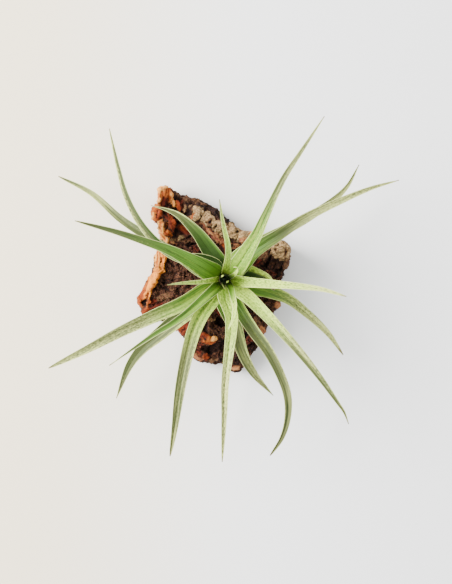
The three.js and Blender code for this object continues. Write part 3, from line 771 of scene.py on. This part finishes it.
def stem_piece(material):
    """The stem's profile turned about its axis, with the scars of old leaves and its fibres."""
    radius, height = (values[:, None] for values in stem_profile())
    angle = np.linspace(0, 2 * math.pi, STEM_SIDES, endpoint=False)[None, :]
    flat = np.stack(np.broadcast_arrays(radius * np.cos(angle), radius * np.sin(angle), height),
                    axis=-1)
    scars = np.abs(((height - LOWEST_LEAF) / SEAT_PITCH) % 1 - 0.5) * 2
    fibres = field(flat.reshape(-1, 3) * STEM_GRAIN).reshape(flat.shape[:2])
    inward = SCAR_DEPTH * scars**SCAR_SHARPNESS + STEM_FIBRE * (0.5 - fibres / 2)
    share = 1 - np.clip(inward / np.maximum(radius, 0.5), 0, STEM_MOST_INWARD)
    places = flat * np.stack([share, share, np.ones_like(share)], axis=-1)
    rings, count = places.shape[:2]
    skin = skin_faces(rings, count)[:, [0, 3, 2, 1]].tolist()
    ends = [list(range(count))[::-1], [(rings - 1) * count + k for k in range(count)]]
    piece = add_mesh("stem_stub", places.reshape(-1, 3), skin + ends,
                     {"height": height * np.ones_like(share)})
    stand_for(piece, "stem", material)


# Bark

def even_surface(node):
    """The node's surface in small even faces: its places and directions, and its faces."""
    solid = bpy.data.objects.new("solid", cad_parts[node].data.copy())
    bpy.context.scene.collection.objects.link(solid)
    remesh = solid.modifiers.new("even", "REMESH")
    remesh.mode = "VOXEL"
    remesh.voxel_size = VOXEL * M
    smooth = solid.modifiers.new("smooth", "SMOOTH")
    smooth.iterations = SMOOTHING
    shaped = solid.evaluated_get(bpy.context.evaluated_depsgraph_get())
    mesh = bpy.data.meshes.new_from_object(shaped)
    bpy.data.objects.remove(solid)
    places = np.array([v.co for v in mesh.vertices]) / M
    directions = np.array([v.normal for v in mesh.vertices])
    return places, directions, [tuple(face.vertices) for face in mesh.polygons]


def turned(places, bearing, pitch):
    """The places along a bearing, across it and up, in lengths of pitch."""
    c, s = np.cos(np.radians(bearing)), np.sin(np.radians(bearing))
    x = places[:, 0] * c + places[:, 1] * s
    y = places[:, 1] * c - places[:, 0] * s
    return np.stack([x, y, places[:, 2]], axis=1) / pitch


def field(places, octaves=3):
    """Smooth noise at each place, between about -1 and 1."""
    return np.array([noise.fractal(Vector(p), 0.9, 2.0, octaves) for p in places])


def crumbs(places):
    """Round crumbs: 1 at the middle of each, and 0 between them."""
    nearest = np.array([noise.voronoi(Vector(p))[0][0] for p in places])
    return np.clip(1 - nearest, 0, 1)


def on_bark(at):
    """Where a pixel of the photograph lies on the bark's top, and how wide a pixel is there."""
    scale = (CAMERA_PLACE[2] - BARK_HEIGHT) / FOCAL_PIXELS
    x = CAMERA_PLACE[0] + (at[0] - PHOTO_WIDTH / 2) * scale
    y = CAMERA_PLACE[1] - (at[1] - PHOTO_HEIGHT / 2) * scale
    return np.array([x, y, 0]), scale


def patch_fields(places):
    """How much each place is of each kind of patch, its lift and the turn of its fibres.

    Each patch covers the ones before it.
    """
    ragged = places + RAGGED * np.stack(
        [field(places / RAGGED_PITCH + seed) for seed in RAGGED_SEEDS], axis=1)
    kinds = dict.fromkeys(patch.kind for patch in PATCHES)
    shares = {kind: np.zeros(len(places)) for kind in kinds}
    lift, turn = np.zeros(len(places)), np.full(len(places), float(PLAIN_TURN))
    for patch in PATCHES:
        middle, scale = on_bark(patch.at)
        local = turned(ragged - middle, patch.turn, scale)
        reach = np.hypot(local[:, 0] / patch.half[0], local[:, 1] / patch.half[1])
        share = 1 - rise(*PATCH_EDGE, reach)
        for kind in kinds:
            shares[kind] = shares[kind] * (1 - share)
        shares[patch.kind] = shares[patch.kind] + share
        lift = lift + patch.lift * share
        turn = np.where(share > 0.5, patch.turn, turn)
    return shares, lift, turn


def bark_relief(places, shares, turn):
    """How far the swell, cracks, crumbs, pits, fibres and grain stand out, and the fibres."""
    wood = sum(shares[kind] for kind in WOODY)
    solid = 1 - WOOD_CALM * wood
    loose = solid * (1 - CORK_CALM * shares["cork"])
    crack = np.abs(field(places / CRACK_PITCH + CRACK_SEED, 4))
    fibres = field(turned(places, turn, 1) / FIBRE_PITCH)
    relief = SHAPE_SWELL * field(places / SWELL_PITCH, 4)
    relief -= CRACK_DEPTH * (1 - rise(0, CRACK_WIDTH, crack)) * solid
    relief += CRUMB_HEIGHT * (crumbs(places / CRUMB_PITCH) - 0.5) * loose
    relief -= PIT_DEPTH * rise(*PIT_SPAN, field(places / PIT_PITCH + PIT_SEED)) * loose
    relief += FIBRE_HEIGHT * fibres * wood
    relief += GRAIN_HEIGHT * field(places / GRAIN_PITCH + GRAIN_SEED, 2)
    return relief, fibres


def bark_piece(material):
    """The bark: the solid's surface in fine faces, with the patches and its relief."""
    places, directions, faces = even_surface("bark")
    shares, lift, turn = patch_fields(places)
    relief, fibres = bark_relief(places, shares, turn)
    lift = (lift + relief) * rise(0, FOOT_HEIGHT, places[:, 2])
    lower = rise(*UNDER_SPAN, -directions[:, 2])
    looks = {kind: share * (1 - lower) for kind, share in shares.items()}
    looks.update(depth=-lift, fibre=fibres)
    piece = add_mesh("bark_chunk", places + directions * lift[:, None], faces, looks)
    stand_for(piece, "bark", material)


def bark_material():
    """Each kind of patch has its own colours, crumbly or stringy, and hollows get painted shade.
    """
    look = Look("bark", roughness=0.9, Specular_IOR_Level=0.2)
    fine, specks, dots = (look.mottle(look.place(), *spots)
                          for spots in (FINE_NOISE, SPECK_NOISE, DOT_NOISE))
    fibre = look.plus(look.number("fibre"), look.times(look.plus(fine, -0.5), STRING_FUZZ))

    def crumbly(dark, plain, light, light_from):
        """Plain colour with dark pits, and light crumbs where the specks are over light_from."""
        colour = look.mix(look.span(fine, *PIT_TONES), dark, plain)
        return look.mix(look.span(specks, light_from, light_from + SPECK_EDGE), colour, light)

    def stringy(dark, light):
        """Strings of wood between two colours."""
        colour = look.mix(look.span(fibre, *STRING_TONES), dark, light)
        return look.mix(look.span(dots, *DOT_TONES), colour, dark)

    colour = crumbly(BARK_DARK, BARK_BROWN, BARK_SPECK, 0.56)
    kinds = {
        "grit": crumbly(BARK_DARK, BARK_BROWN, BARK_SPECK, 0.53),
        # dark patches: the bark's own dark brown, partly painted shade in its hollows and on
        # slopes away from the window
        "dark": crumbly(HOLE_SHADE_BLACK, BARK_DARK, BARK_BROWN, 0.5),
        "crumb": crumbly(BARK_BROWN, BARK_SPECK, CORK_GREY, 0.5),
        "brick": crumbly(BARK_DARK, BARK_RED, BARK_PINK, 0.54),
        "cork": crumbly(CORK_GREY, CORK_TAN, CORK_PALE, 0.5),
        "tan": crumbly(BARK_SPECK, CORK_GREY, CORK_TAN, 0.5),
        "red": stringy(DEEP_RED, BARK_RED),
        "rust": stringy(BARK_RED, RUST),
        "salmon": stringy(BARK_PINK, SALMON),
        "torn": stringy(RUST, TORN_ORANGE),
        "amber": stringy(TORN_ORANGE, TORN_AMBER),
        "bright": stringy(TORN_ORANGE, TORN_YELLOW),
        # holes are painted black as painted shade
        "hole": HOLE_SHADE_BLACK,
    }
    for kind, shade in kinds.items():
        colour = look.mix(look.number(kind), colour, shade)
    # painted shade in the hollows, darker the deeper the bark lies
    depth = look.plus(look.number("depth"), look.times(look.plus(specks, -0.5), HOLLOW_SHADE_FUZZ))
    colour = look.mix(look.span(depth, *HOLLOW_SHADE_TONES), colour, BARK_DARK)
    small = look.plus(look.times(specks, SPECK_BUMP), look.times(dots, DOT_BUMP))
    return look.finish(colour, look.plus(fine, small), depth=0.7, strength=0.9)


# Materials

def screen(colour):
    """Linear colour of a screen colour."""
    c = np.array(colour, float) / 255
    linear = np.where(c <= 0.04045, c / 12.92, ((c + 0.055) / 1.055) ** 2.4)
    return (*linear.tolist(), 1.0)


class Look:
    """Short calls that build one material from nodes."""

    def __init__(self, name, roughness=0.8, **fixed):
        self.material = bpy.data.materials.new(name)
        self.material.use_nodes = True
        self.nodes = self.material.node_tree.nodes
        self.links = self.material.node_tree.links
        self.shader = self.nodes["Principled BSDF"]
        self.shader.inputs["Roughness"].default_value = roughness
        for key, value in fixed.items():
            self.shader.inputs[key.replace("_", " ")].default_value = value

    def plug(self, socket, value):
        if isinstance(value, bpy.types.NodeSocket):
            self.links.new(value, socket)
        else:
            socket.default_value = value

    def number(self, name):
        """A number that the mesh holds for each of its places."""
        node = self.nodes.new("ShaderNodeAttribute")
        node.attribute_name = name
        return node.outputs["Fac"]

    def place(self, scale=(1, 1, 1)):
        """Place on the piece, in millimetres times scale."""
        source = self.nodes.new("ShaderNodeTexCoord")
        mapping = self.nodes.new("ShaderNodeMapping")
        mapping.inputs["Scale"].default_value = tuple(k / M for k in scale)
        self.links.new(source.outputs["Object"], mapping.inputs["Vector"])
        return mapping.outputs["Vector"]

    def vector(self, x, y, z):
        node = self.nodes.new("ShaderNodeCombineXYZ")
        for socket, value in zip(node.inputs, (x, y, z)):
            self.plug(socket, value)
        return node.outputs["Vector"]

    def maths(self, operation, a, b):
        node = self.nodes.new("ShaderNodeMath")
        node.operation = operation
        for socket, value in zip(node.inputs, (a, b)):
            self.plug(socket, value)
        return node.outputs["Value"]

    def times(self, a, b):
        return self.maths("MULTIPLY", a, b)

    def plus(self, a, b):
        return self.maths("ADD", a, b)

    def minus(self, a, b):
        return self.maths("SUBTRACT", a, b)

    def span(self, value, low, high, start=0.0, end=1.0):
        """start where value is low, end where it is high, and a smooth way between."""
        node = self.nodes.new("ShaderNodeMapRange")
        node.interpolation_type = "SMOOTHSTEP"
        for socket, x in zip(node.inputs, (value, low, high, start, end)):
            self.plug(socket, x)
        return node.outputs["Result"]

    def mottle(self, place, scale, detail, roughness):
        """Smooth spots of noise."""
        node = self.nodes.new("ShaderNodeTexNoise")
        self.links.new(place, node.inputs["Vector"])
        node.inputs["Scale"].default_value = scale
        node.inputs["Detail"].default_value = detail
        node.inputs["Roughness"].default_value = roughness
        return node.outputs["Fac"]

    def mix(self, share, a, b):
        """The colour a, and b over it by share."""
        node = self.nodes.new("ShaderNodeMix")
        node.data_type = "RGBA"
        self.plug(node.inputs[0], share)
        for socket, value in zip((node.inputs[6], node.inputs[7]), (a, b)):
            self.plug(socket, value if isinstance(value, bpy.types.NodeSocket) else screen(value))
        return node.outputs[2]

    def finish(self, colour, height=None, depth=0.1, strength=1.0):
        """Ends the material with its colour and its bumps, which are depth millimetres high."""
        self.links.new(colour, self.shader.inputs["Base Color"])
        if height is not None:
            bump = self.nodes.new("ShaderNodeBump")
            bump.inputs["Distance"].default_value = depth * M
            bump.inputs["Strength"].default_value = strength
            self.links.new(height, bump.inputs["Height"])
            self.links.new(bump.outputs["Normal"], self.shader.inputs["Normal"])
        return self.material


def leaf_green(look, distance, edge, bloom):
    """Painted shade in the heart, further along the margins, then bright green that turns dull.

    It is a deeper green where bloom is below 0, partly its own colour and partly painted shade
    from the leaves above.
    """
    fresh = look.number("fresh")
    green = look.mix(look.span(distance, *HEART_SPAN), HEART_GREEN, FRESH_GREEN)
    # painted shade in the heart, reaching further out along the margins where leaves lie under one
    # another
    out = look.plus(distance, look.times(edge, HEART_SHADE_INWARD))
    green = look.mix(look.span(out, *HEART_SHADE_SPAN), HEART_SHADE, green)
    green = look.mix(look.span(distance, look.times(fresh, DULL_FROM), fresh), green, DULL_GREEN)
    # below 0 a deeper green: partly the leaf's own colour, partly painted shade from the leaves
    # above
    green = look.mix(look.span(bloom, 0, -1), green, DEEP_GREEN)
    return look.mix(look.span(look.number("to_tip"), *OLIVE_SPAN), green, TIP_OLIVE)


def leaf_material():
    """Green with fine veins under pale scales, with pale margins and a dried tip."""
    look = Look("leaf", roughness=0.55, Specular_IOR_Level=0.12)
    beside, along, edge = (look.number(key) for key in ("beside", "along", "edge"))
    number, distance, bloom = (look.number(key) for key in ("number", "axis_distance", "bloom"))

    def grown(pitch, detail=GROWN_DETAIL, roughness=GROWN_ROUGHNESS):
        """Noise that is drawn out along the leaf."""
        place = look.vector(look.times(beside, 1 / pitch[0]), look.times(along, 1 / pitch[1]),
                            number)
        return look.mottle(place, 1.0, detail, roughness)

    veins, lines, broad = (grown(pitch) for pitch in (VEIN_PITCH, LINE_PITCH, BROAD_PITCH))
    streaks = grown(STREAK_PITCH, STREAK_DETAIL, STREAK_ROUGHNESS)
    green = leaf_green(look, distance, edge, bloom)
    green = look.mix(look.span(veins, *VEIN_SPAN), green, DEEP_GREEN)
    scales = look.plus(look.times(bloom, look.span(streaks, *STREAK_SPAN)),
                       look.times(look.number("under"), UNDER_BLOOM))
    scales = look.plus(scales, look.span(lines, *LINE_SPAN))
    scales = look.plus(scales, look.span(broad, *BROAD_SPAN))
    scales = look.times(scales, look.span(distance, *BARE_SPAN))
    pale = look.mix(look.span(distance, *PALE_SPAN), SCALE_YELLOW, SCALE_PALE)
    colour = look.mix(scales, green, pale)
    from_margin = look.plus(edge, look.times(streaks, -MARGIN_RAGGED))
    margin = look.times(look.span(from_margin, *MARGIN_SPAN),
                        look.span(distance, *MARGIN_STARTS))
    colour = look.mix(margin, colour, MARGIN_PALE)
    dryness = look.minus(look.number("dry"), look.number("to_tip"))
    colour = look.mix(look.span(dryness, *DRY_SPAN), colour, DRY_TIP)
    return look.finish(colour, look.plus(veins, look.times(streaks, STREAK_BUMP)), depth=0.12,
                       strength=0.5)


def stem_material():
    """Brown fibres, with painted shade where they are among the leaves."""
    look = Look("stem", roughness=0.85, Specular_IOR_Level=0.2)
    fibres = look.mottle(look.place(STEM_LOOK_GRAIN), 1.0, detail=5, roughness=0.65)
    woody = look.mix(look.span(fibres, *STEM_TONES), STEM_BROWN, BARK_DARK)
    # painted shade where the leaves close over the stem
    among = look.span(look.number("height"), LOWEST_LEAF, LOWEST_LEAF + STEM_SHADE_OVER)
    return look.finish(look.mix(among, woody, HEART_SHADE), fibres, depth=0.3, strength=0.7)


# Surroundings

def make_camera():
    """A camera that looks straight down, as in the photograph."""
    data = bpy.data.cameras.new("camera")
    data.sensor_width = SENSOR
    data.lens = FOCAL_PIXELS * SENSOR / max(PHOTO_WIDTH, PHOTO_HEIGHT)
    data.clip_start, data.clip_end = CAMERA_SEES
    camera = bpy.data.objects.new("camera", data)
    camera.location = Vector(CAMERA_PLACE) * M
    bpy.context.scene.collection.objects.link(camera)
    bpy.context.scene.camera = camera


def make_window():
    """The square soft light of a window, turned to the plant."""
    data = bpy.data.lights.new("window", "AREA")
    data.shape = "SQUARE"
    data.size = WINDOW_SIZE
    data.energy = WINDOW_POWER
    data.color = WINDOW_TINT
    lamp = bpy.data.objects.new("window", data)
    elevation = math.radians(WINDOW_ELEVATION)
    level = towards(WINDOW_BEARING)[:2] * math.cos(elevation)
    lamp.location = Vector((*level, math.sin(elevation))) * WINDOW_DISTANCE
    lamp.rotation_mode = "QUATERNION"
    lamp.rotation_quaternion = (-lamp.location).to_track_quat("-Z", "Y")
    bpy.context.scene.collection.objects.link(lamp)


def make_fill():
    """Even light from all sides."""
    world = bpy.data.worlds.new("world")
    world.use_nodes = True
    background = world.node_tree.nodes["Background"]
    background.inputs["Color"].default_value = FILL_TINT
    background.inputs["Strength"].default_value = FILL_STRENGTH
    bpy.context.scene.world = world


def make_floor():
    """A pale floor, with painted warm light towards the left."""
    corners = [(x * FLOOR_REACH, y * FLOOR_REACH, 0)
               for x, y in ((-1, -1), (1, -1), (1, 1), (-1, 1))]
    floor = add_mesh("floor", corners, [(0, 1, 2, 3)])
    look = Look("floor", roughness=0.9)
    across = look.nodes.new("ShaderNodeSeparateXYZ")
    look.links.new(look.place(), across.inputs["Vector"])
    # painted warm light, fading from the left to the right
    tint = look.mix(look.span(across.outputs["X"], *FLOOR_LIGHT_SPAN), FLOOR_WARM_LIGHT, FLOOR_PLAIN)
    floor.data.materials.append(look.finish(tint))


make_camera()
make_floor()
make_fill()
make_window()
bark_piece(bark_material())
stem_piece(stem_material())
leaf_look = leaf_material()
for place_in_list, leaf_to_make in enumerate(LEAVES):
    leaf_piece(leaf_to_make, place_in_list, leaf_look)
